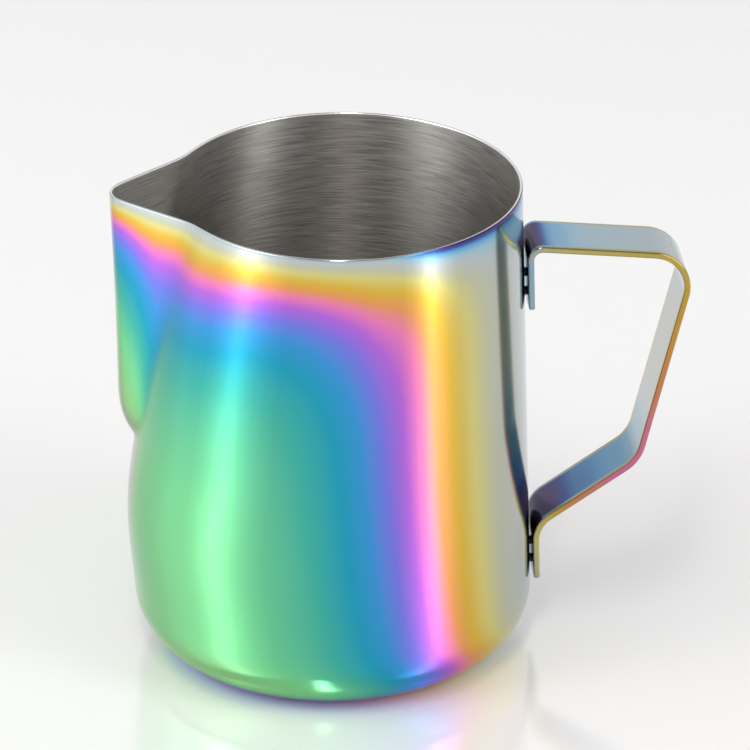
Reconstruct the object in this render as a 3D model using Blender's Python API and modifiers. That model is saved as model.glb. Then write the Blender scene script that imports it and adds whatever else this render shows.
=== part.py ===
"""Milk frothing pitcher, 600 ml class.

A thin drawn steel cup with a pouring spout pressed into its wall, and a bent flat-bar handle that stands
a little off the wall on four weld nuggets. Metres, +Z up. The origin is the centre of the flat base, the
spout points to -X and the handle to +X, and the object is symmetric about the XZ plane.
"""
import math

import bpy
import bmesh
from mathutils import Matrix, Vector

MM = 0.001
OBJECT_NAME = "milk_frothing_pitcher"

# Cup wall: a straight cone above a rounded base edge.
RIM_HEIGHT = 111.0 * MM
BASE_EDGE_RADIUS = 12.2 * MM
WALL_FOOT_RADIUS = 45.3 * MM
RIM_RADIUS = 42.65 * MM
SHEET = 0.7 * MM

# Front of the wall: drawn in beside the spout, swelling a little below it.
FRONT_SPREAD = math.radians(118.0)
DRAW_IN_DEPTH = 7.1 * MM
DRAW_IN_START = 60.0 * MM
DRAW_IN_SOFTNESS = 0.12
SWELL_DEPTH = 2.3 * MM
SWELL_SKEW = 1.15

# Spout: two flat cheeks that meet in a rounded nose.
CHEEK_HALF_ANGLE = math.radians(42.0)
CHEEK_APEX = 52.8 * MM
NOSE_REACH = 48.45 * MM
LIP_FLARE = 0.65 * MM
LIP_FLARE_START = 72.0 * MM
SPOUT_FOOT = 49.8 * MM
SPOUT_FULL = 64.5 * MM
SPOUT_FOOT_REACH = 44.0 * MM
NOSE_FOOT_POWER = 2.6
CHEEK_FOOT_POWER = 3.0
NOSE_ROUNDING = 2.0 * MM
CREASE_ROUNDING = 1.0 * MM

# Handle: one flat bar, followed along the middle of its thickness.
BAR_WIDTH = 15.4 * MM
BAR_THICKNESS = 1.4 * MM
BAR_EDGE_ROUNDING = 0.35 * MM
STAND_OFF = 0.35 * MM
TAB_FOOT_UPPER = 81.8 * MM
TAB_FOOT_LOWER = 13.8 * MM
TAB_HEAD_UPPER = 96.6 * MM
TAB_HEAD_LOWER = 27.2 * MM
GRIP_TOP = (81.5 * MM, 93.0 * MM)
GRIP_BOTTOM = (69.2 * MM, 43.0 * MM)
BEND_RADIUS_TAB_UPPER = 2.6 * MM
BEND_RADIUS_GRIP_TOP = 8.3 * MM
BEND_RADIUS_GRIP_BOTTOM = 9.3 * MM
BEND_RADIUS_TAB_LOWER = 7.0 * MM
BEND_STEP = math.radians(12.0)

# Weld nuggets between the bar and the wall, each sunk into a shallow pocket in the bar.
NUGGET_RADIUS = 1.15 * MM
NUGGET_FOOT_RISE = 1.45 * MM
NUGGET_PITCH = 4.6 * MM
POCKET_DEPTH = 0.7 * MM
CLEARANCE = 0.3 * MM

# Mesh fineness.
HALF_RING_STEPS = 28
RING_CROWDING = 0.62
EDGE_RINGS = 5


def wall_radius(z):
    """Outer radius of the round wall, without the spout's effects."""
    if z < BASE_EDGE_RADIUS:
        drop = BASE_EDGE_RADIUS - z
        return WALL_FOOT_RADIUS - BASE_EDGE_RADIUS + math.sqrt(BASE_EDGE_RADIUS ** 2 - drop ** 2)
    rise = (z - BASE_EDGE_RADIUS) / (RIM_HEIGHT - BASE_EDGE_RADIUS)
    return WALL_FOOT_RADIUS + (RIM_RADIUS - WALL_FOOT_RADIUS) * rise


def soft_ramp(x, softness):
    """Zero below 0 and x above it, with a rounded corner."""
    return 0.5 * (x + math.sqrt(x * x + softness * softness))


def front_offset(z):
    """How far the front of the wall is drawn in (positive) or swollen out (negative)."""
    x = (z - DRAW_IN_START) / (RIM_HEIGHT - DRAW_IN_START)
    drawn_in = DRAW_IN_DEPTH * soft_ramp(x, DRAW_IN_SOFTNESS)
    below = min(max(z / DRAW_IN_START, 0.0), 1.0)
    swollen = SWELL_DEPTH * math.sin(math.pi * below ** SWELL_SKEW) ** 2
    return drawn_in - swollen


def spout_radius(angle, z):
    """Outer radius of the spout alone, at an angle away from -X."""
    growth = (z - SPOUT_FOOT) / (SPOUT_FULL - SPOUT_FOOT)
    left = 1.0 - min(max(growth, 0.0), 1.0)
    sunk = min(z - SPOUT_FOOT, 0.0)
    reach = NOSE_REACH + (SPOUT_FOOT_REACH - NOSE_REACH) * left ** NOSE_FOOT_POWER + sunk
    reach += LIP_FLARE * (max(z - LIP_FLARE_START, 0.0) / (RIM_HEIGHT - LIP_FLARE_START)) ** 2
    apex = CHEEK_APEX + (SPOUT_FOOT_REACH - CHEEK_APEX) * left ** CHEEK_FOOT_POWER + sunk
    turn = min(angle - (math.pi / 2 - CHEEK_HALF_ANGLE), 0.0)
    cheek = apex * math.sin(CHEEK_HALF_ANGLE) / math.cos(turn)
    return 0.5 * (reach + cheek - math.hypot(reach - cheek, NOSE_ROUNDING))


def cup_radius(angle, z):
    """Outer radius of the cup, spout included; angle is measured from -X, 0 to pi."""
    lobe = 0.5 + 0.5 * math.cos(math.pi * min(angle / FRONT_SPREAD, 1.0))
    wall = wall_radius(z) - front_offset(z) * lobe
    spout = spout_radius(angle, z)
    return 0.5 * (wall + spout + math.hypot(wall - spout, CREASE_ROUNDING))


def ring_angles():
    """Angles from -X round the whole ring, closer together at the spout."""
    half = []
    for i in range(HALF_RING_STEPS + 1):
        t = i / HALF_RING_STEPS
        half.append(math.pi * ((1.0 - RING_CROWDING) * t + RING_CROWDING * t * t))
    return half + [-a for a in reversed(half[1:-1])]


def ring_heights():
    """Heights of the rings: the rounded base edge, then the wall, closer where the spout starts."""
    heights = []
    for i in range(EDGE_RINGS):
        heights.append(BASE_EDGE_RADIUS * (1.0 - math.cos(math.pi / 2 * i / EDGE_RINGS)))
    for low, high, steps in (
        (BASE_EDGE_RADIUS, 46.0 * MM, 5),
        (46.0 * MM, SPOUT_FULL, 9),
        (SPOUT_FULL, RIM_HEIGHT, 7),
    ):
        heights += [low + (high - low) * i / steps for i in range(steps)]
    return heights + [RIM_HEIGHT]


def metal(name, color, roughness):
    material = bpy.data.materials.new(name)
    material.use_nodes = True
    shader = material.node_tree.nodes["Principled BSDF"]
    shader.inputs["Base Color"].default_value = (*color, 1.0)
    shader.inputs["Metallic"].default_value = 1.0
    shader.inputs["Roughness"].default_value = roughness
    return material


def add_object(name, bm, material, collection):
    mesh = bpy.data.meshes.new(name)
    bm.normal_update()
    bm.to_mesh(mesh)
    bm.free()
    mesh.materials.append(material)
    mesh.shade_smooth()
    mesh.set_sharp_from_angle(angle=math.radians(35.0))
    obj = bpy.data.objects.new(name, mesh)
    collection.objects.link(obj)
    return obj


def make_cup(collection):
    """Loft of rings with a flat bottom, thickened inwards to the sheet."""
    bm = bmesh.new()
    angles = ring_angles()
    rings = []
    for z in ring_heights():
        ring = []
        for angle in angles:
            radius = cup_radius(abs(angle), z)
            point = Vector((-radius * math.cos(angle), radius * math.sin(angle), z))
            ring.append(bm.verts.new(point))
        rings.append(ring)
    bm.faces.new(rings[0])
    count = len(angles)
    for lower, upper in zip(rings, rings[1:]):
        for i in range(count):
            j = (i + 1) % count
            bm.faces.new((lower[j], lower[i], upper[i], upper[j]))
    cup = add_object("pitcher_body", bm, metal("coated_steel", (0.35, 0.62, 0.66), 0.12), collection)
    shell = cup.modifiers.new("sheet", "SOLIDIFY")
    shell.thickness = SHEET
    shell.offset = -1.0
    shell.use_even_offset = True
    return cup


def wall_lean():
    """Sideways travel of the wall for each unit of height."""
    return (RIM_RADIUS - WALL_FOOT_RADIUS) / (RIM_HEIGHT - BASE_EDGE_RADIUS)


def beside_wall(z, distance):
    """A point on the handle side at a distance straight out from the wall."""
    return (wall_radius(z) + distance / math.cos(math.atan(wall_lean())), z)


def rounded_path(corners):
    """Points of a path with an arc of the given radius at each inner corner: (x, z, radius)."""
    points = [Vector(corners[0][:2])]
    for before, corner, after in zip(corners, corners[1:], corners[2:]):
        here = Vector(corner[:2])
        back = (Vector(before[:2]) - here).normalized()
        ahead = (Vector(after[:2]) - here).normalized()
        turn = math.pi - back.angle(ahead)
        trim = corner[2] * math.tan(turn / 2)
        centre = here + (back + ahead).normalized() * math.hypot(corner[2], trim)
        start = here + back * trim - centre
        sweep = turn if back.cross(ahead) < 0.0 else -turn
        steps = max(3, math.ceil(turn / BEND_STEP))
        for i in range(steps + 1):
            points.append(centre + Matrix.Rotation(sweep * i / steps, 2) @ start)
    points.append(Vector(corners[-1][:2]))
    return points


def handle_path():
    middle = STAND_OFF + BAR_THICKNESS / 2
    return rounded_path([
        (*beside_wall(TAB_FOOT_UPPER, middle), 0.0),
        (*beside_wall(TAB_HEAD_UPPER, middle), BEND_RADIUS_TAB_UPPER),
        (*GRIP_TOP, BEND_RADIUS_GRIP_TOP),
        (*GRIP_BOTTOM, BEND_RADIUS_GRIP_BOTTOM),
        (*beside_wall(TAB_HEAD_LOWER, middle), BEND_RADIUS_TAB_LOWER),
        (*beside_wall(TAB_FOOT_LOWER, middle), 0.0),
    ])


def nugget_places():
    """Name and height of each weld nugget."""
    places = []
    for tab, foot in (("upper", TAB_FOOT_UPPER), ("lower", TAB_FOOT_LOWER)):
        low = foot + NUGGET_FOOT_RISE
        places.append((tab + "_weld_bottom", low))
        places.append((tab + "_weld_top", low + NUGGET_PITCH))
    return places


def disc(name, z, near, far, radius, collection, material):
    """A short cylinder square to the wall, between two distances from it."""
    x, height = beside_wall(z, (near + far) / 2)
    bm = bmesh.new()
    bmesh.ops.create_cone(
        bm, cap_ends=True, segments=20, radius1=radius, radius2=radius, depth=far - near,
        matrix=Matrix.Rotation(math.pi / 2 + math.atan(wall_lean()), 4, "Y"),
    )
    obj = add_object(name, bm, material, collection)
    obj.location = (x, 0.0, height)
    return obj


def make_handle(collection, cutters):
    """A ribbon along the handle's path, thickened to the bar, with a pocket for each nugget."""
    bm = bmesh.new()
    edges = [[], []]
    for x, z in handle_path():
        for side, row in zip((-1.0, 1.0), edges):
            row.append(bm.verts.new((x, side * BAR_WIDTH / 2, z)))
    for i in range(len(edges[0]) - 1):
        bm.faces.new((edges[0][i], edges[0][i + 1], edges[1][i + 1], edges[1][i]))
    steel = metal("coated_bar", (0.66, 0.58, 0.52), 0.15)
    handle = add_object("handle_strap", bm, steel, collection)
    bar = handle.modifiers.new("thickness", "SOLIDIFY")
    bar.thickness = BAR_THICKNESS
    bar.offset = 0.0
    bar.use_even_offset = True
    rounding = handle.modifiers.new("rounded_edges", "BEVEL")
    rounding.width = BAR_EDGE_ROUNDING
    rounding.segments = 2
    rounding.limit_method = "ANGLE"
    rounding.angle_limit = math.radians(60.0)
    for name, z in nugget_places():
        cutter = disc(
            "pocket_for_" + name, z, STAND_OFF - CLEARANCE, STAND_OFF + POCKET_DEPTH,
            NUGGET_RADIUS + CLEARANCE, cutters, steel,
        )
        cutter.hide_render = True
        cutter.display_type = "WIRE"
        pocket = handle.modifiers.new("pocket", "BOOLEAN")
        pocket.operation = "DIFFERENCE"
        pocket.object = cutter
    return handle


def make_nuggets(collection):
    steel = metal("weld_steel", (0.16, 0.15, 0.15), 0.4)
    far = STAND_OFF + POCKET_DEPTH - CLEARANCE
    for name, z in nugget_places():
        disc(name, z, CLEARANCE, far, NUGGET_RADIUS, collection, steel)


def main():
    for obj in list(bpy.data.objects):
        bpy.data.objects.remove(obj, do_unlink=True)
    parts = bpy.data.collections.new(OBJECT_NAME)
    cutters = bpy.data.collections.new("cutters")
    for collection in (parts, cutters):
        bpy.context.scene.collection.children.link(collection)
    make_cup(parts)
    make_handle(parts, cutters)
    make_nuggets(parts)


main()
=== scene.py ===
"""Looks of the milk frothing pitcher: a rainbow-coated steel cup, bare and brushed inside, with a bent bar
handle on four weld nuggets, on a glossy white table. Metres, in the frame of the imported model."""
import math

import bpy
from mathutils import Matrix, Vector


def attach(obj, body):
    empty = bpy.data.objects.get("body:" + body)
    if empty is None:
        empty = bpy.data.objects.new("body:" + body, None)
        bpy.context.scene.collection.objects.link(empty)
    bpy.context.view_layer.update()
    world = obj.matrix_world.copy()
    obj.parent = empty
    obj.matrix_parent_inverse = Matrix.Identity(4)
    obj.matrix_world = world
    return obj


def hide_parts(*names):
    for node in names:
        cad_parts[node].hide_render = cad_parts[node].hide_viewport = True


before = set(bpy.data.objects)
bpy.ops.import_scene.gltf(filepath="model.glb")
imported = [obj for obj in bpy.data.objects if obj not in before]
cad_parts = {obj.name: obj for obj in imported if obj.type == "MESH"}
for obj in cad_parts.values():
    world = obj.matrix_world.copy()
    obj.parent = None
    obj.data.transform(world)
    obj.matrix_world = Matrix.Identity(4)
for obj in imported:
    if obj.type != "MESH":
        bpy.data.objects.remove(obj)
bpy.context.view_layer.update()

MM = 0.001

# Cup: the same surface as the CAD body.
RIM_HEIGHT = 111.0 * MM
BASE_EDGE_RADIUS = 12.2 * MM
WALL_FOOT_RADIUS = 45.3 * MM
RIM_RADIUS = 42.65 * MM
SHEET = 0.7 * MM
FRONT_SPREAD = math.radians(118.0)
DRAW_IN_DEPTH = 7.1 * MM
DRAW_IN_START = 60.0 * MM
DRAW_IN_SOFTNESS = 0.12
SWELL_DEPTH = 2.3 * MM
SWELL_SKEW = 1.15
CHEEK_HALF_ANGLE = math.radians(42.0)
CHEEK_APEX = 52.8 * MM
NOSE_REACH = 48.45 * MM
LIP_FLARE = 0.65 * MM
LIP_FLARE_START = 72.0 * MM
SPOUT_FOOT = 49.8 * MM
SPOUT_FULL = 64.5 * MM
SPOUT_FOOT_REACH = 44.0 * MM
NOSE_FOOT_POWER = 2.6
CHEEK_FOOT_POWER = 3.0
NOSE_ROUNDING = 2.0 * MM
CREASE_ROUNDING = 1.0 * MM

# Handle: the same path as the CAD bar.
BAR_WIDTH = 15.4 * MM
BAR_THICKNESS = 1.4 * MM
BAR_EDGE_ROUNDING = 0.42 * MM
STAND_OFF = 0.35 * MM
TAB_FOOT_UPPER = 81.8 * MM
TAB_FOOT_LOWER = 13.8 * MM
TAB_HEAD_UPPER = 96.6 * MM
TAB_HEAD_LOWER = 27.2 * MM
GRIP_TOP = (81.5 * MM, 93.0 * MM)
GRIP_BOTTOM = (69.2 * MM, 43.0 * MM)
BEND_RADIUS_TAB_UPPER = 2.6 * MM
BEND_RADIUS_GRIP_TOP = 8.3 * MM
BEND_RADIUS_GRIP_BOTTOM = 9.3 * MM
BEND_RADIUS_TAB_LOWER = 7.0 * MM
BEND_STEP = math.radians(3.0)
BAR_STEP = 0.6 * MM

# Weld nuggets: waisted pegs that bridge the slit between tab and wall.
NUGGET_RADIUS = 1.15 * MM
NUGGET_FOOT_RISE = 1.45 * MM
NUGGET_PITCH = 4.6 * MM
NUGGET_SINK = 0.08 * MM
NUGGET_WAIST = 0.86
NUGGET_SIDES = 28
NUGGET_RINGS = 10

# Mesh fineness.
HALF_RING_STEPS = 130
RING_CROWDING = 0.5
EDGE_RINGS = 16
RIM_ARC_STEPS = 6
COATED_RIM_STEPS = 2
UNDERSIDE_RINGS = (0.25, 0.6, 0.9)
INSIDE_FLOOR_RINGS = (0.9, 0.75, 0.6, 0.45, 0.3, 0.15)
BAR_MIN_ROUNDING = 0.05 * MM
BAR_CORNER_STEPS = 6
BAR_FLAT_STEPS = 12
# Distance from the end of the bar and how far its section is drawn in there.
BAR_END_ROUNDING = ((0.0, 0.30 * MM), (0.04 * MM, 0.16 * MM), (0.15 * MM, 0.05 * MM))


# ---------------------------------------------------------------- shape of the cup

def wall_radius(z):
    """Outer radius of the round wall, without the spout's effects."""
    if z < BASE_EDGE_RADIUS:
        drop = BASE_EDGE_RADIUS - z
        return WALL_FOOT_RADIUS - BASE_EDGE_RADIUS + math.sqrt(BASE_EDGE_RADIUS ** 2 - drop ** 2)
    rise = (z - BASE_EDGE_RADIUS) / (RIM_HEIGHT - BASE_EDGE_RADIUS)
    return WALL_FOOT_RADIUS + (RIM_RADIUS - WALL_FOOT_RADIUS) * rise


def soft_ramp(x, softness):
    """Zero below 0 and x above it, with a rounded corner."""
    return 0.5 * (x + math.sqrt(x * x + softness * softness))


def front_offset(z):
    """How far the front of the wall is drawn in (positive) or swollen out (negative)."""
    x = (z - DRAW_IN_START) / (RIM_HEIGHT - DRAW_IN_START)
    drawn_in = DRAW_IN_DEPTH * soft_ramp(x, DRAW_IN_SOFTNESS)
    below = min(max(z / DRAW_IN_START, 0.0), 1.0)
    swollen = SWELL_DEPTH * math.sin(math.pi * below ** SWELL_SKEW) ** 2
    return drawn_in - swollen


def spout_radius(angle, z):
    """Outer radius of the spout alone, at an angle away from -X."""
    growth = (z - SPOUT_FOOT) / (SPOUT_FULL - SPOUT_FOOT)
    left = 1.0 - min(max(growth, 0.0), 1.0)
    sunk = min(z - SPOUT_FOOT, 0.0)
    reach = NOSE_REACH + (SPOUT_FOOT_REACH - NOSE_REACH) * left ** NOSE_FOOT_POWER + sunk
    reach += LIP_FLARE * (max(z - LIP_FLARE_START, 0.0) / (RIM_HEIGHT - LIP_FLARE_START)) ** 2
    apex = CHEEK_APEX + (SPOUT_FOOT_REACH - CHEEK_APEX) * left ** CHEEK_FOOT_POWER + sunk
    turn = min(angle - (math.pi / 2 - CHEEK_HALF_ANGLE), 0.0)
    cheek = apex * math.sin(CHEEK_HALF_ANGLE) / math.cos(turn)
    return 0.5 * (reach + cheek - math.hypot(reach - cheek, NOSE_ROUNDING))


def front_wall_radius(angle, z):
    """Outer radius of the wall with its drawn-in front, but without the spout."""
    lobe = 0.5 + 0.5 * math.cos(math.pi * min(angle / FRONT_SPREAD, 1.0))
    return wall_radius(z) - front_offset(z) * lobe


def cup_radius(angle, z):
    """Outer radius of the cup, spout included; angle is measured from -X, 0 to pi."""
    wall = front_wall_radius(angle, z)
    spout = spout_radius(angle, z)
    return 0.5 * (wall + spout + math.hypot(wall - spout, CREASE_ROUNDING))


def cup_point(angle, z):
    """A point of the outer surface, at an angle from -X (positive towards +Y) and a height."""
    radius = cup_radius(abs(angle), z)
    return Vector((-radius * math.cos(angle), radius * math.sin(angle), z))


def cup_normal(angle, z):
    """Outward direction of the cup's outer surface, from two small steps along it."""
    step = 0.002
    low, high = max(z - 0.1 * MM, 0.0), min(z + 0.1 * MM, RIM_HEIGHT)
    around = cup_point(angle + step, z) - cup_point(angle - step, z)
    up = cup_point(angle, high) - cup_point(angle, low)
    return up.cross(around).normalized()


# ---------------------------------------------------------------- coating thickness
# The coating's thickness is a plain number: 0 is bare silver, and each colour of the ramp has its own.

FILM_MIN = -0.5
FILM_MAX = 1.3

# Round wall. Angles are degrees from the spout; heights and depths below the rim are millimetres.
HALF_WAY_ANGLE = 107.0
HALF_WAY_SHIFT = 15.0
HALF_WAY_SHIFT_HEIGHT = 25.0
HALF_WAY_SOFTNESS = 18.0
FRONT_EXTRA = 0.28
FRONT_EXTRA_ANGLE = 8.0
HEEL_EXTRA = 0.08
HEEL_HEIGHT = 6.0
HEEL_SPREAD = 5.0
BACK_LOSS = 0.05
BACK_ANGLES = (118.0, 145.0)
GROWTH_DEPTH = 11.3
FRONT_GROWTH_DEPTH = 7.5
FRONT_GROWTH_ANGLE = 30.0
FRONT_GROWTH_SPREAD = 36.0
BACK_GROWTH_DEPTH = 3.0
BACK_GROWTH_ANGLES = (98.0, 112.0)

# Spout.
SPOUT_FULL_FILM = 0.62
FLANK_ANGLES = (4.0, 18.0)
NOSE_GROWTH_DEPTH = 5.5
FLANK_GROWTH_DEPTH = 3.5
NOSE_SLOPE = 0.0095
FLANK_SLOPE_LOSS = 0.006
RIDGE_EXTRA = 0.14
RIDGE_ANGLE = 3.5
RIDGE_DEPTHS = (8.0, 25.0)
SPOUT_BLEND = (-2.2 * MM, 0.7 * MM)

# Base edge and rim.
BASE_SHARE = 0.54
BASE_HEIGHTS = (0.2, 3.6)
RIM_LOSS = 0.06
RIM_LOSS_DEPTH = 2.0
BACK_RIM_LOSS = 0.42
BACK_RIM_ANGLES = (98.0, 122.0)
BACK_RIM_DEPTH = 3.4


def bell(x, width):
    """1 at zero, fading to nothing on both sides over about twice the width."""
    return math.exp(-(x / width) ** 2)


def smoothstep(low, high, x):
    """0 up to low, 1 from high on, with a smooth change between them."""
    t = min(max((x - low) / (high - low), 0.0), 1.0)
    return t * t * (3.0 - 2.0 * t)


def wall_film(turn, depth, height):
    """Coating on the round wall: thick at the front, thin at the handle side and under the rim."""
    half_way = HALF_WAY_ANGLE + HALF_WAY_SHIFT * math.exp(-height / HALF_WAY_SHIFT_HEIGHT)
    full = 1.0 / (1.0 + math.exp((turn - half_way) / HALF_WAY_SOFTNESS))
    full += FRONT_EXTRA * bell(turn, FRONT_EXTRA_ANGLE)
    full += HEEL_EXTRA * bell(height - HEEL_HEIGHT, HEEL_SPREAD)
    full -= BACK_LOSS * smoothstep(*BACK_ANGLES, turn)
    growth = GROWTH_DEPTH + FRONT_GROWTH_DEPTH * bell(turn - FRONT_GROWTH_ANGLE, FRONT_GROWTH_SPREAD)
    growth -= BACK_GROWTH_DEPTH * smoothstep(*BACK_GROWTH_ANGLES, turn)
    return full * (1.0 - math.exp(-depth / growth))


def spout_film(turn, depth):
    """Coating on the spout: it thickens quickly at the nose and stays thin on the flanks."""
    flank = smoothstep(*FLANK_ANGLES, turn)
    growth = NOSE_GROWTH_DEPTH + FLANK_GROWTH_DEPTH * flank
    film = SPOUT_FULL_FILM * (1.0 - math.exp(-depth / growth))
    film += (NOSE_SLOPE - FLANK_SLOPE_LOSS * flank) * depth
    return film + RIDGE_EXTRA * bell(turn, RIDGE_ANGLE) * smoothstep(*RIDGE_DEPTHS, depth)


def cup_film(angle, z):
    """Coating thickness anywhere on the outside; both flanks are alike."""
    side = abs(angle)
    turn = math.degrees(side)
    depth = (RIM_HEIGHT - z) / MM
    height = z / MM
    proud = spout_radius(side, z) - front_wall_radius(side, z)
    on_spout = smoothstep(*SPOUT_BLEND, proud)
    film = wall_film(turn, depth, height) * (1.0 - on_spout) + spout_film(turn, depth) * on_spout
    film *= BASE_SHARE + (1.0 - BASE_SHARE) * smoothstep(*BASE_HEIGHTS, height)
    film -= RIM_LOSS * math.exp(-depth / RIM_LOSS_DEPTH)
    film -= BACK_RIM_LOSS * smoothstep(*BACK_RIM_ANGLES, turn) * math.exp(-depth / BACK_RIM_DEPTH)
    return film


# ---------------------------------------------------------------- meshes

def add_mesh(name, points, faces, slots, attributes, materials):
    """A smooth-shaded mesh object with a material slot for each face and float values for each vertex."""
    mesh = bpy.data.meshes.new(name)
    mesh.from_pydata(points, [], faces)
    for material in materials:
        mesh.materials.append(material)
    mesh.polygons.foreach_set("material_index", slots)
    for label, values in attributes.items():
        layer = mesh.attributes.new(label, "FLOAT", "POINT")
        layer.data.foreach_set("value", values)
    mesh.shade_smooth()
    mesh.validate()
    obj = bpy.data.objects.new(name, mesh)
    bpy.context.scene.collection.objects.link(obj)
    return obj


def ring_angles():
    """Angles from -X round the whole ring, closer together at the spout."""
    half = []
    for i in range(HALF_RING_STEPS + 1):
        t = i / HALF_RING_STEPS
        half.append(math.pi * ((1.0 - RING_CROWDING) * t + RING_CROWDING * t * t))
    return half + [-a for a in reversed(half[1:-1])]


def ring_heights():
    """Heights of the outer rings from the base disc to just under the rim's rounding."""
    heights = []
    for i in range(EDGE_RINGS):
        heights.append(BASE_EDGE_RADIUS * (1.0 - math.cos(math.pi / 2 * i / EDGE_RINGS)))
    top = RIM_HEIGHT - SHEET / 2
    for low, high, steps in (
        (BASE_EDGE_RADIUS, 46.0 * MM, 24),
        (46.0 * MM, SPOUT_FULL, 34),
        (SPOUT_FULL, 100.0 * MM, 26),
        (100.0 * MM, top, 22),
    ):
        heights += [low + (high - low) * i / steps for i in range(steps)]
    return heights + [top]


class Shell:
    """Rings of points with two values each, joined one after another into a closed skin."""

    def __init__(self):
        self.points, self.film, self.lay, self.rows = [], [], [], []

    def add(self, ring, film, lay):
        start = len(self.points)
        self.rows.append(range(start, start + len(ring)))
        self.points.extend(ring)
        self.film.extend(film)
        self.lay.extend([lay] * len(ring))


def add_outside(shell, angles, heights):
    for shrink in UNDERSIDE_RINGS:
        shell.add([cup_point(a, 0.0) * shrink for a in angles], [cup_film(a, 0.0) for a in angles], 0.0)
    for z in heights:
        shell.add([cup_point(a, z) for a in angles], [cup_film(a, z) for a in angles], z)


def add_rim(shell, angles, top):
    """A half-round edge from the top outer ring inwards; returns the top inner ring."""
    sides = [Vector((*cup_normal(a, top).xy, 0.0)).normalized() for a in angles]
    edge = [shell.points[k] for k in shell.rows[-1]]
    film = [cup_film(a, top) for a in angles]
    for i in range(1, RIM_ARC_STEPS):
        swing = math.pi * i / RIM_ARC_STEPS
        drop = SHEET / 2 * (1.0 - math.cos(swing))
        rise = Vector((0.0, 0.0, SHEET / 2 * math.sin(swing)))
        shell.add([p - s * drop + rise for p, s in zip(edge, sides)], film, RIM_HEIGHT)
    return [p - s * SHEET for p, s in zip(edge, sides)]


def add_inside(shell, angles, heights, top_ring):
    bare = [0.0] * len(angles)
    shell.add(top_ring, bare, heights[-1])
    for z in reversed(heights[:-1]):
        shell.add([cup_point(a, z) - cup_normal(a, z) * SHEET for a in angles], bare, z)
    floor_ring = [shell.points[k].copy() for k in shell.rows[-1]]
    for shrink in INSIDE_FLOOR_RINGS:
        ring = [Vector((p.x * shrink, p.y * shrink, p.z)) for p in floor_ring]
        shell.add(ring, bare, (shrink - 1.0) * WALL_FOOT_RADIUS)


def make_cup(outside, rim, inside):
    """Outer skin, rounded rim and inner skin as one closed shell."""
    angles = ring_angles()
    heights = ring_heights()
    shell = Shell()
    add_outside(shell, angles, heights)
    coated_rows = len(shell.rows) + COATED_RIM_STEPS - 1
    top_ring = add_rim(shell, angles, heights[-1])
    rim_rows = len(shell.rows)
    add_inside(shell, angles, heights, top_ring)

    faces = []
    slots = []
    count = len(angles)
    for row, (lower, upper) in enumerate(zip(shell.rows, shell.rows[1:])):
        slot = 0 if row < coated_rows else 1 if row < rim_rows else 2
        for i in range(count):
            j = (i + 1) % count
            faces.append((lower[j], lower[i], upper[i], upper[j]))
            slots.append(slot)
    faces.append(tuple(shell.rows[0]))
    slots.append(0)
    faces.append(tuple(reversed(shell.rows[-1])))
    slots.append(2)
    values = {"film": shell.film, "lay": shell.lay}
    return add_mesh("cup_shell", shell.points, faces, slots, values, (outside, rim, inside))


def wall_lean():
    """Sideways travel of the wall for each unit of height."""
    return (RIM_RADIUS - WALL_FOOT_RADIUS) / (RIM_HEIGHT - BASE_EDGE_RADIUS)


def beside_wall(z, distance):
    """A point on the handle side at a distance straight out from the wall."""
    return (wall_radius(z) + distance / math.cos(math.atan(wall_lean())), z)


def rounded_path(corners):
    """Points of a path with an arc of the given radius at each inner corner: (x, z, radius)."""
    points = [Vector(corners[0][:2])]
    for before, corner, after in zip(corners, corners[1:], corners[2:]):
        here = Vector(corner[:2])
        back = (Vector(before[:2]) - here).normalized()
        ahead = (Vector(after[:2]) - here).normalized()
        turn = math.pi - back.angle(ahead)
        trim = corner[2] * math.tan(turn / 2)
        centre = here + (back + ahead).normalized() * math.hypot(corner[2], trim)
        start = here + back * trim - centre
        sweep = turn if back.cross(ahead) < 0.0 else -turn
        steps = max(3, math.ceil(turn / BEND_STEP))
        for i in range(steps + 1):
            points.append(centre + Matrix.Rotation(sweep * i / steps, 2) @ start)
    points.append(Vector(corners[-1][:2]))
    return points


def handle_path():
    """The middle of the bar's thickness, with extra points along its straight stretches."""
    middle = STAND_OFF + BAR_THICKNESS / 2
    path = rounded_path([
        (*beside_wall(TAB_FOOT_UPPER, middle), 0.0),
        (*beside_wall(TAB_HEAD_UPPER, middle), BEND_RADIUS_TAB_UPPER),
        (*GRIP_TOP, BEND_RADIUS_GRIP_TOP),
        (*GRIP_BOTTOM, BEND_RADIUS_GRIP_BOTTOM),
        (*beside_wall(TAB_HEAD_LOWER, middle), BEND_RADIUS_TAB_LOWER),
        (*beside_wall(TAB_FOOT_LOWER, middle), 0.0),
    ])
    fine = [path[0]]
    for start, end in zip(path, path[1:]):
        steps = max(1, round((end - start).length / BAR_STEP))
        fine += [start.lerp(end, i / steps) for i in range(1, steps + 1)]
    return fine


def bar_section(inset):
    """The bar's rounded cross-section, drawn in by inset: (across, through), counter-clockwise."""
    half_width = BAR_WIDTH / 2 - inset
    half_thick = BAR_THICKNESS / 2 - inset
    radius = max(BAR_EDGE_ROUNDING - inset, BAR_MIN_ROUNDING)
    outline = []
    for corner, (sx, sy) in enumerate(((1, 1), (-1, 1), (-1, -1), (1, -1))):
        for i in range(BAR_CORNER_STEPS + 1):
            turn = math.pi / 2 * (corner + i / BAR_CORNER_STEPS)
            outline.append((
                sx * (half_width - radius) + radius * math.cos(turn),
                sy * (half_thick - radius) + radius * math.sin(turn),
            ))
        if sx == sy:
            across = (half_width - radius) * sx
            for i in range(1, BAR_FLAT_STEPS):
                outline.append((across * (1.0 - 2.0 * i / BAR_FLAT_STEPS), sy * half_thick))
    return outline


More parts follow.
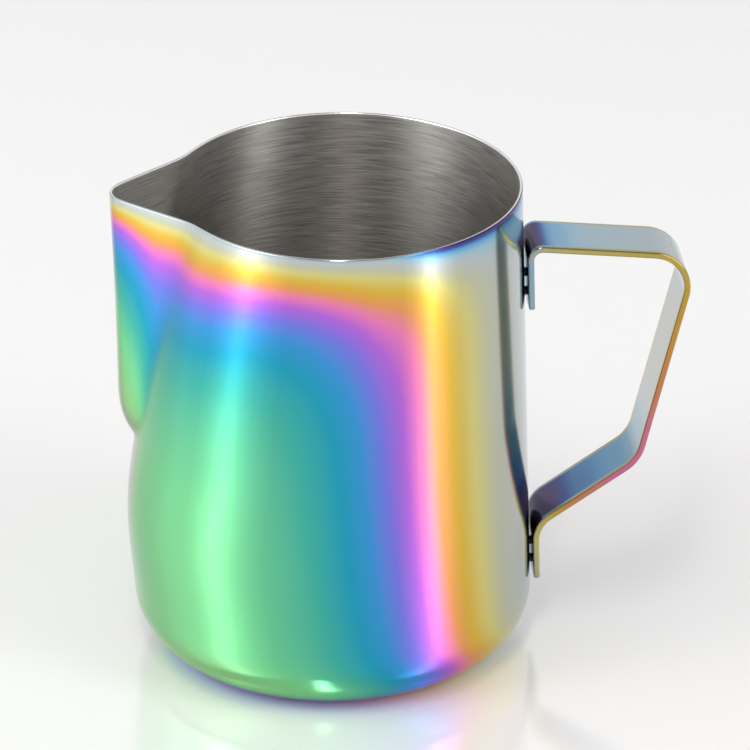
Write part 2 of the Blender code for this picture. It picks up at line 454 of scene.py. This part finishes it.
def piecewise(stops, x):
    """Smooth value between (position, value) stops."""
    if x <= stops[0][0]:
        return stops[0][1]
    for (x0, y0), (x1, y1) in zip(stops, stops[1:]):
        if x <= x1:
            return y0 + (y1 - y0) * smoothstep(x0, x1, x)
    return stops[-1][1]


# Coating along the bar, from the upper tab's foot (0) to the lower tab's foot (1).
FACE_FILM = (
    (0.00, -0.16), (0.06, -0.24), (0.10, -0.48), (0.14, -0.18), (0.20, -0.06), (0.36, -0.01),
    (0.50, 0.03), (0.60, 0.02), (0.67, -0.10), (0.74, -0.20), (0.81, -0.28), (0.88, -0.44),
    (0.93, -0.50), (1.0, -0.25),
)
EDGE_FILM = (
    (0.00, -0.08), (0.07, -0.12), (0.12, 0.14), (0.18, 0.22), (0.34, 0.25), (0.44, 0.31), (0.56, 0.37),
    (0.66, 0.42), (0.74, 0.43), (0.82, 0.38), (0.90, 0.22), (1.0, 0.12),
)
# Painted shade on the bar, as how far its colour is darkened: on the flats near the upper tab's bend and
# along the bar's lower end, and evenly on its narrow sides.
FACE_PAINTED_SHADE = (
    (0.00, 0.1), (0.06, 0.15), (0.10, 0.3), (0.15, 0.0), (0.62, 0.0), (0.70, 0.28), (0.90, 0.36), (1.0, 0.3),
)
EDGE_PAINTED_SHADE = 0.34
EDGE_COLOR_START = BAR_WIDTH / 2 - 1.6 * MM
EDGE_COLOR_FULL = BAR_WIDTH / 2 - 0.1 * MM


def bar_edge(across):
    """0 on the bar's flats, 1 on its narrow sides."""
    return smoothstep(EDGE_COLOR_START, EDGE_COLOR_FULL, abs(across))


def bar_film(along, across):
    """Thin on the flats and thicker over the rounded edges."""
    edge = bar_edge(across)
    return piecewise(FACE_FILM, along) * (1.0 - edge) + piecewise(EDGE_FILM, along) * edge


def make_handle(material):
    """The bar swept along its path, with softly rounded ends."""
    path = handle_path()
    lengths = [0.0]
    for start, end in zip(path, path[1:]):
        lengths.append(lengths[-1] + (end - start).length)
    total = lengths[-1]
    stations = []
    ahead = (path[1] - path[0]).normalized()
    behind = (path[-1] - path[-2]).normalized()
    for back, inset in BAR_END_ROUNDING:
        stations.append((path[0] + ahead * back, ahead, inset, 0.0))
    for i in range(1, len(path) - 1):
        tangent = (path[i + 1] - path[i - 1]).normalized()
        stations.append((path[i], tangent, 0.0, lengths[i] / total))
    for back, inset in reversed(BAR_END_ROUNDING):
        stations.append((path[-1] - behind * back, behind, inset, 1.0))
    points = []
    film = []
    painted_shade = []
    rows = []
    for place, tangent, inset, along in stations:
        section = bar_section(inset)
        rows.append(range(len(points), len(points) + len(section)))
        for across, through in section:
            points.append((place.x - tangent.y * through, across, place.y + tangent.x * through))
            film.append(bar_film(along, across))
            # Painted shade: darkening on the narrow sides and, by place along the bar, on the flats.
            edge_weight = bar_edge(across)
            painted_shade.append(EDGE_PAINTED_SHADE * edge_weight + piecewise(FACE_PAINTED_SHADE, along) * (1.0 - edge_weight))
    faces = []
    count = len(rows[0])
    for lower, upper in zip(rows, rows[1:]):
        for i in range(count):
            j = (i + 1) % count
            faces.append((lower[i], lower[j], upper[j], upper[i]))
    faces.append(tuple(reversed(rows[0])))
    faces.append(tuple(rows[-1]))
    return add_mesh("bar_handle", points, faces, [0] * len(faces), {"film": film, "painted_shade": painted_shade}, (material,))


def make_nugget(name, z, material):
    """Weld metal with a waist, flared where it wets the wall and the bar."""
    lean = math.atan(wall_lean())
    length = STAND_OFF + 2.0 * NUGGET_SINK
    x, height = beside_wall(z, 0.0)
    turn = Matrix.Rotation(math.pi / 2 + lean, 4, "Y")
    points, faces = [], []
    for i in range(NUGGET_RINGS + 1):
        t = i / NUGGET_RINGS
        radius = NUGGET_RADIUS * (NUGGET_WAIST + (1.0 - NUGGET_WAIST) * (2.0 * t - 1.0) ** 2)
        for k in range(NUGGET_SIDES):
            a = 2.0 * math.pi * k / NUGGET_SIDES
            local = Vector((radius * math.cos(a), radius * math.sin(a), length * t - NUGGET_SINK))
            points.append(turn @ local + Vector((x, 0.0, height)))
    for i in range(NUGGET_RINGS):
        for k in range(NUGGET_SIDES):
            j = (k + 1) % NUGGET_SIDES
            low = i * NUGGET_SIDES
            high = low + NUGGET_SIDES
            faces.append((low + k, low + j, high + j, high + k))
    faces.append(tuple(reversed(range(NUGGET_SIDES))))
    faces.append(tuple(range(NUGGET_RINGS * NUGGET_SIDES, (NUGGET_RINGS + 1) * NUGGET_SIDES)))
    return add_mesh(name, points, faces, [0] * len(faces), {}, (material,))


# ---------------------------------------------------------------- materials

def linear(value):
    """A display value from 0 to 255 as linear light."""
    value /= 255.0
    return value / 12.92 if value <= 0.04045 else ((value + 0.055) / 1.055) ** 2.4


# Colours of the coating by its film value, as display values. They were chosen after colours read off the
# photo, and then changed.
FILM_COLORS = (
    (-0.50, (92, 62, 72)),
    (-0.42, (80, 58, 112)),
    (-0.34, (54, 86, 160)),
    (-0.24, (100, 162, 208)),
    (-0.12, (152, 190, 206)),
    (0.00, (182, 189, 191)),
    (0.10, (186, 190, 166)),
    (0.19, (208, 200, 124)),
    (0.29, (212, 176, 66)),
    (0.37, (222, 150, 92)),
    (0.44, (226, 122, 178)),
    (0.51, (174, 102, 212)),
    (0.59, (116, 118, 220)),
    (0.67, (62, 144, 208)),
    (0.75, (38, 152, 180)),
    (0.84, (68, 172, 156)),
    (0.95, (116, 202, 142)),
    (1.05, (138, 194, 130)),
    (1.16, (156, 176, 146)),
    (1.30, (176, 172, 180)),
)
FILM_GAIN = 0.98

# Colour of the painted shade: what the coating's colour is mixed towards by the shade value, which only the
# handle has.
PAINTED_SHADE_COLOR = (0.03, 0.03, 0.035, 1.0)

# Noise frequency of the brushed lines inside the cup: low along them, high across them.
LINES_AROUND = 140.0
LINES_ACROSS = 5200.0


class Nodes:
    """A material's node tree, with short calls for adding and joining nodes."""

    def __init__(self, name):
        self.material = bpy.data.materials.new(name)
        self.material.use_nodes = True
        self.tree = self.material.node_tree
        self.shader = self.tree.nodes["Principled BSDF"]

    def add(self, kind, **values):
        node = self.tree.nodes.new(kind)
        for key, value in values.items():
            setattr(node, key, value)
        return node

    def link(self, out, into):
        self.tree.links.new(out, into)

    def set(self, **values):
        for key, value in values.items():
            self.shader.inputs[key.replace("_", " ")].default_value = value

    def coordinates(self, scale):
        """Object coordinates stretched by scale."""
        source = self.add("ShaderNodeTexCoord")
        mapping = self.add("ShaderNodeMapping")
        mapping.inputs["Scale"].default_value = scale
        self.link(source.outputs["Object"], mapping.inputs["Vector"])
        return mapping.outputs["Vector"]

    def noise(self, vector, scale, detail):
        node = self.add("ShaderNodeTexNoise")
        node.inputs["Scale"].default_value = scale
        node.inputs["Detail"].default_value = detail
        self.link(vector, node.inputs["Vector"])
        return node.outputs["Fac"]

    def math(self, operation, first, second=None):
        node = self.add("ShaderNodeMath", operation=operation)
        for socket, value in zip(node.inputs, (first, second)):
            if value is None:
                continue
            if isinstance(value, (int, float)):
                socket.default_value = value
            else:
                self.link(value, socket)
        return node.outputs[0]

    def remap(self, value, low, high):
        node = self.add("ShaderNodeMapRange")
        node.inputs["To Min"].default_value = low
        node.inputs["To Max"].default_value = high
        self.link(value, node.inputs["Value"])
        return node.outputs["Result"]

    def bump(self, height, strength, distance):
        node = self.add("ShaderNodeBump")
        node.inputs["Strength"].default_value = strength
        node.inputs["Distance"].default_value = distance
        self.link(height, node.inputs["Height"])
        self.link(node.outputs["Normal"], self.shader.inputs["Normal"])


def coated_metal(name, roughness, wander):
    """Polished steel under a clear interference coating, whose colour follows the film value and is darkened
    by painted shade.
    """
    nodes = Nodes(name)
    film = nodes.add("ShaderNodeAttribute", attribute_name="film").outputs["Fac"]
    drift = nodes.noise(nodes.coordinates((1.0, 1.0, 0.5)), scale=45.0, detail=3.0)
    film = nodes.math("ADD", film, nodes.remap(drift, low=-wander, high=wander))
    position = nodes.add("ShaderNodeMapRange")
    position.inputs["From Min"].default_value = FILM_MIN
    position.inputs["From Max"].default_value = FILM_MAX
    nodes.link(film, position.inputs["Value"])
    ramp = nodes.add("ShaderNodeValToRGB")
    ramp.color_ramp.interpolation = "LINEAR"
    stops = ramp.color_ramp.elements
    while len(stops) > 1:
        stops.remove(stops[-1])
    for i, (value, color) in enumerate(FILM_COLORS):
        place = (value - FILM_MIN) / (FILM_MAX - FILM_MIN)
        stop = stops[0] if i == 0 else stops.new(place)
        stop.position = place
        stop.color = (*[min(linear(c) * FILM_GAIN, 1.0) for c in color], 1.0)
    nodes.link(position.outputs["Result"], ramp.inputs["Fac"])
    # Painted shade: the colour is mixed towards a dark shade colour by a value stored on the handle's
    # vertices.
    painted_shade = nodes.add("ShaderNodeAttribute", attribute_name="painted_shade").outputs["Fac"]
    shade = nodes.add("ShaderNodeMix", data_type="RGBA")
    nodes.link(painted_shade, shade.inputs["Factor"])
    nodes.link(ramp.outputs["Color"], shade.inputs["A"])
    shade.inputs["B"].default_value = PAINTED_SHADE_COLOR
    nodes.link(shade.outputs["Result"], nodes.shader.inputs["Base Color"])
    nodes.set(Metallic=1.0)
    smear = nodes.noise(nodes.coordinates((1.0, 1.0, 0.25)), scale=120.0, detail=4.0)
    gloss = nodes.remap(smear, low=roughness * 0.75, high=roughness * 1.25)
    nodes.link(gloss, nodes.shader.inputs["Roughness"])
    lines = nodes.noise(nodes.coordinates((40.0, 40.0, 1600.0)), scale=1.0, detail=2.0)
    nodes.bump(lines, strength=0.04, distance=0.02 * MM)
    return nodes.material


def brushed_steel(name):
    """Bare sheet with fine lines running round the cup."""
    nodes = Nodes(name)
    source = nodes.add("ShaderNodeTexCoord")
    split = nodes.add("ShaderNodeSeparateXYZ")
    nodes.link(source.outputs["Object"], split.inputs["Vector"])
    lay = nodes.add("ShaderNodeAttribute", attribute_name="lay").outputs["Fac"]
    joined = nodes.add("ShaderNodeCombineXYZ")
    nodes.link(nodes.math("MULTIPLY", split.outputs["X"], LINES_AROUND), joined.inputs["X"])
    nodes.link(nodes.math("MULTIPLY", split.outputs["Y"], LINES_AROUND), joined.inputs["Y"])
    nodes.link(nodes.math("MULTIPLY", lay, LINES_ACROSS), joined.inputs["Z"])
    lines = nodes.noise(joined.outputs["Vector"], scale=1.0, detail=5.0)
    ramp = nodes.add("ShaderNodeValToRGB")
    ramp.color_ramp.elements[0].position = 0.3
    ramp.color_ramp.elements[0].color = (0.31, 0.298, 0.276, 1.0)
    ramp.color_ramp.elements[1].position = 0.72
    ramp.color_ramp.elements[1].color = (0.62, 0.60, 0.565, 1.0)
    nodes.link(lines, ramp.inputs["Fac"])
    nodes.link(ramp.outputs["Color"], nodes.shader.inputs["Base Color"])
    nodes.set(Metallic=1.0, Anisotropic=0.9, Anisotropic_Rotation=0.25)
    nodes.link(nodes.remap(lines, low=0.36, high=0.50), nodes.shader.inputs["Roughness"])
    tangent = nodes.add("ShaderNodeTangent", direction_type="RADIAL", axis="Z")
    nodes.link(tangent.outputs["Tangent"], nodes.shader.inputs["Tangent"])
    nodes.bump(lines, strength=0.35, distance=0.04 * MM)
    return nodes.material


def bright_edge(name):
    """The cut and polished edge of the sheet."""
    nodes = Nodes(name)
    marks = nodes.noise(nodes.coordinates((1.0, 1.0, 1.0)), scale=900.0, detail=3.0)
    nodes.set(Base_Color=(0.86, 0.87, 0.86, 1.0), Metallic=1.0)
    nodes.link(nodes.remap(marks, low=0.12, high=0.26), nodes.shader.inputs["Roughness"])
    nodes.bump(marks, strength=0.1, distance=0.02 * MM)
    return nodes.material


def weld_metal(name):
    """Heat-darkened steel with a rippled surface."""
    nodes = Nodes(name)
    ripple = nodes.noise(nodes.coordinates((1.0, 1.0, 1.0)), scale=1400.0, detail=4.0)
    ramp = nodes.add("ShaderNodeValToRGB")
    ramp.color_ramp.elements[0].color = (0.03, 0.04, 0.08, 1.0)
    ramp.color_ramp.elements[1].color = (0.26, 0.22, 0.2, 1.0)
    nodes.link(ripple, ramp.inputs["Fac"])
    nodes.link(ramp.outputs["Color"], nodes.shader.inputs["Base Color"])
    nodes.set(Metallic=1.0)
    nodes.link(nodes.remap(ripple, low=0.3, high=0.55), nodes.shader.inputs["Roughness"])
    nodes.bump(ripple, strength=0.5, distance=0.1 * MM)
    return nodes.material


def table_top(name):
    """Glossy white laminate, open from below so that the cup's underside can be seen."""
    nodes = Nodes(name)
    grain = nodes.noise(nodes.coordinates((1.0, 1.0, 1.0)), scale=30.0, detail=2.0)
    nodes.set(Base_Color=(0.94, 0.94, 0.945, 1.0), IOR=3.0)
    nodes.link(nodes.remap(grain, low=0.10, high=0.13), nodes.shader.inputs["Roughness"])
    side = nodes.add("ShaderNodeNewGeometry").outputs["Backfacing"]
    reach = nodes.add("ShaderNodeVectorMath", operation="LENGTH")
    nodes.link(nodes.coordinates((1.0, 1.0, 0.0)), reach.inputs[0])
    under = nodes.math("LESS_THAN", reach.outputs["Value"], WALL_FOOT_RADIUS - BASE_EDGE_RADIUS)
    side = nodes.math("MAXIMUM", side, under)
    clear = nodes.add("ShaderNodeBsdfTransparent")
    mix = nodes.add("ShaderNodeMixShader")
    nodes.link(side, mix.inputs["Fac"])
    nodes.link(nodes.shader.outputs["BSDF"], mix.inputs[1])
    nodes.link(clear.outputs["BSDF"], mix.inputs[2])
    nodes.link(mix.outputs["Shader"], nodes.tree.nodes["Material Output"].inputs["Surface"])
    return nodes.material


# ---------------------------------------------------------------- studio

CAMERA_TARGET = Vector((9.79 * MM, 0.0, 63.58 * MM))
CAMERA_DISTANCE = 1.0
CAMERA_AZIMUTH = math.radians(-4.5)
CAMERA_ELEVATION = math.radians(25.66)
CAMERA_ROLL = math.radians(-0.29)
CAMERA_LENS = 212.2
CAMERA_SENSOR = 36.0
TABLE_SIZE = 8.0
TABLE_GAP = 0.1 * MM
SKY_HORIZON = 0.85
SKY_ZENITH = 0.34
SKY_FADE = (0.35, 0.95)
SKY_COLOR = (0.99, 0.99, 1.0, 1.0)
STRIP_DISTANCE = 1.5
STRIP_ELEVATION = 28.0
STRIP_HEIGHT = 1.3
# Layers of a strip, as shares of its width and of its radiance; each stands a little further back.
STRIP_LAYERS = ((1.0, 0.1), (0.72, 0.15), (0.5, 0.2), (0.32, 0.25), (0.17, 0.3))
STRIP_LAYER_GAP = 0.01
LIGHT_TARGET = Vector((0.0, 0.0, 60.0 * MM))


def direction(azimuth, elevation):
    """From the object outwards; azimuth 0 is towards -Y and 90 towards +X."""
    flat = math.cos(elevation)
    return Vector((math.sin(azimuth) * flat, -math.cos(azimuth) * flat, math.sin(elevation)))


def make_camera():
    """A long lens 1 m away, looking down at about 26 degrees, a little round to the spout's side."""
    data = bpy.data.cameras.new("camera")
    data.lens = CAMERA_LENS
    data.sensor_width = CAMERA_SENSOR
    data.clip_start = 0.05
    data.clip_end = 20.0
    camera = bpy.data.objects.new("camera", data)
    back = direction(CAMERA_AZIMUTH, CAMERA_ELEVATION)
    camera.location = CAMERA_TARGET + back * CAMERA_DISTANCE
    aim = (-back).to_track_quat("-Z", "Y").to_matrix().to_4x4()
    camera.rotation_euler = (aim @ Matrix.Rotation(CAMERA_ROLL, 4, "Z")).to_euler()
    bpy.context.scene.collection.objects.link(camera)
    bpy.context.scene.camera = camera


def softbox(name, azimuth, elevation, distance, size, radiance, color=(1.0, 1.0, 1.0)):
    """A rectangular light that faces the object; azimuth is in degrees from the camera's."""
    data = bpy.data.lights.new(name, "AREA")
    data.shape = "RECTANGLE"
    data.size, data.size_y = size
    data.energy = radiance * size[0] * size[1] * math.pi
    data.color = color
    light = bpy.data.objects.new(name, data)
    out = direction(CAMERA_AZIMUTH + math.radians(azimuth), math.radians(elevation))
    light.location = LIGHT_TARGET + out * distance
    light.rotation_euler = out.to_track_quat("Z", "Y").to_euler()
    light.visible_camera = False
    bpy.context.scene.collection.objects.link(light)


def feathered_strip(name, azimuth, width, radiance):
    """An upright strip light whose brightness falls off softly to both sides."""
    for i, (share, part) in enumerate(STRIP_LAYERS):
        distance = STRIP_DISTANCE + STRIP_LAYER_GAP * i
        size = (width * share, STRIP_HEIGHT)
        softbox(name + "_" + str(i), azimuth, STRIP_ELEVATION, distance, size, radiance * part)


def make_studio():
    """A pale gradient sky, soft strips at both sides, a small light above and a glossy table."""
    bpy.context.scene.view_settings.view_transform = "Standard"
    world = bpy.data.worlds.new("studio")
    world.use_nodes = True
    tree = world.node_tree
    source = tree.nodes.new("ShaderNodeTexCoord")
    split = tree.nodes.new("ShaderNodeSeparateXYZ")
    tree.links.new(source.outputs["Generated"], split.inputs["Vector"])
    fade = tree.nodes.new("ShaderNodeMapRange")
    fade.interpolation_type = "SMOOTHSTEP"
    fade.inputs["From Min"].default_value, fade.inputs["From Max"].default_value = SKY_FADE
    fade.inputs["To Min"].default_value = SKY_HORIZON
    fade.inputs["To Max"].default_value = SKY_ZENITH
    tree.links.new(split.outputs["Z"], fade.inputs["Value"])
    tree.links.new(fade.outputs["Result"], tree.nodes["Background"].inputs["Strength"])
    tree.nodes["Background"].inputs["Color"].default_value = SKY_COLOR
    bpy.context.scene.world = world
    feathered_strip("strip_right", azimuth=60.0, width=0.95, radiance=4.6)
    feathered_strip("strip_left", azimuth=-65.0, width=1.5, radiance=4.1)
    feathered_strip("strip_side", azimuth=-98.0, width=1.7, radiance=0.8)
    softbox(
        "front_top", azimuth=-8.0, elevation=62.0, distance=1.4, size=(0.13, 0.8), radiance=14.0,
        color=(1.0, 0.92, 0.82),
    )
    bpy.ops.mesh.primitive_plane_add(size=TABLE_SIZE, location=(0.0, 0.0, -TABLE_GAP))
    table = bpy.context.object
    table.name = "table_top"
    table.data.materials.append(table_top("white_laminate"))


# ---------------------------------------------------------------- assembly

make_camera()
make_studio()

cup = make_cup(
    coated_metal("rainbow_coated_cup", roughness=0.13, wander=0.012),
    bright_edge("polished_rim"),
    brushed_steel("brushed_inside"),
)
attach(cup, "root")
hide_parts("pitcher_body")

handle = make_handle(coated_metal("rainbow_coated_handle", roughness=0.14, wander=0.02))
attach(handle, "root")
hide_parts("handle_strap")

weld = weld_metal("weld_metal")
for tab, foot in (("upper", TAB_FOOT_UPPER), ("lower", TAB_FOOT_LOWER)):
    for place, rise in (("bottom", 0.0), ("top", NUGGET_PITCH)):
        node = tab + "_weld_" + place
        nugget = make_nugget(tab + "_nugget_" + place, foot + NUGGET_FOOT_RISE + rise, weld)
        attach(nugget, "root")
        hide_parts(node)
